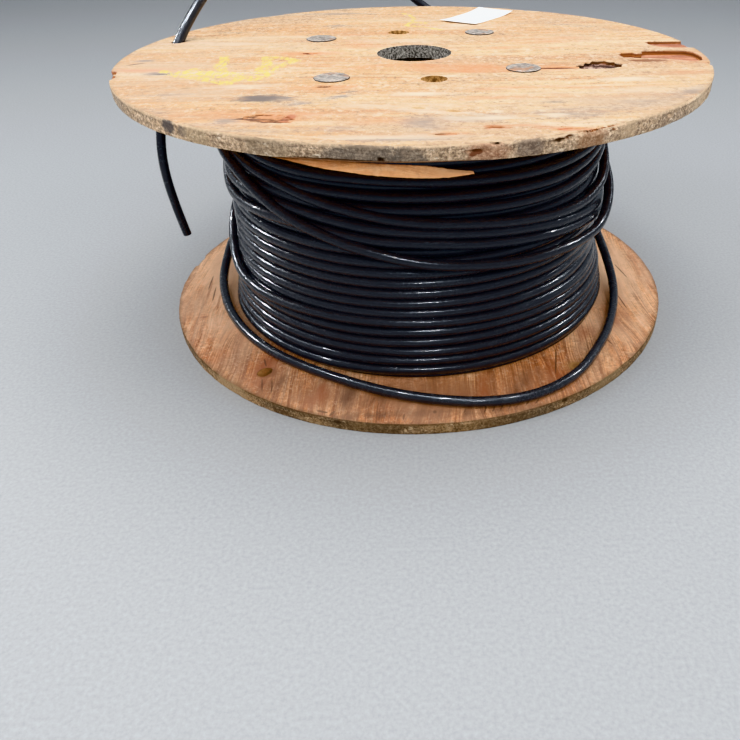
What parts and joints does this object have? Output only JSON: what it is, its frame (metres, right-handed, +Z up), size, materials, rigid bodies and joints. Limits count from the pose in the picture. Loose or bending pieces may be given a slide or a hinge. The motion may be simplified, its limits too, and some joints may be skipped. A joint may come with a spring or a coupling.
{
  "type": "wooden cable drum",
  "caption": "Wooden cable drum: round plywood flanges with an arbor hole, a bolted barrel and a full winding of glossy black cable with a free end.",
  "frame": {"origin": "centre of the drum's underside, on the arbor axis, at floor level", "axes": "+Z up along the arbor axis through both flanges; -Y is the side the picture is taken from; X runs along the grain of the top flange"},
  "size_m": [0.613, 0.6436, 0.368],
  "materials": {
    "weathered_plywood": "weathered, bare",
    "brown_plywood": "bare, stained red-brown",
    "fibre_board": "matte",
    "cable_jacket": "glossy",
    "galvanised_steel": "galvanised, dull, some rust",
    "white_paper": "matte"
  },
  "bodies": {
    "root": {"top_flange": "weathered_plywood", "bottom_flange": "brown_plywood", "barrel_tube": "fibre_board", "cable_winding": "cable_jacket", "cable_loose_turn": "cable_jacket", "cable_tail": "cable_jacket", "paper_tag": "white_paper", "reel_bolt_1": "galvanised_steel", "reel_bolt_2": "galvanised_steel", "reel_bolt_3": "galvanised_steel", "reel_bolt_4": "galvanised_steel", "reel_nut_1": "galvanised_steel", "reel_nut_2": "galvanised_steel", "reel_nut_3": "galvanised_steel", "reel_nut_4": "galvanised_steel"}
  },
  "joints": []
}
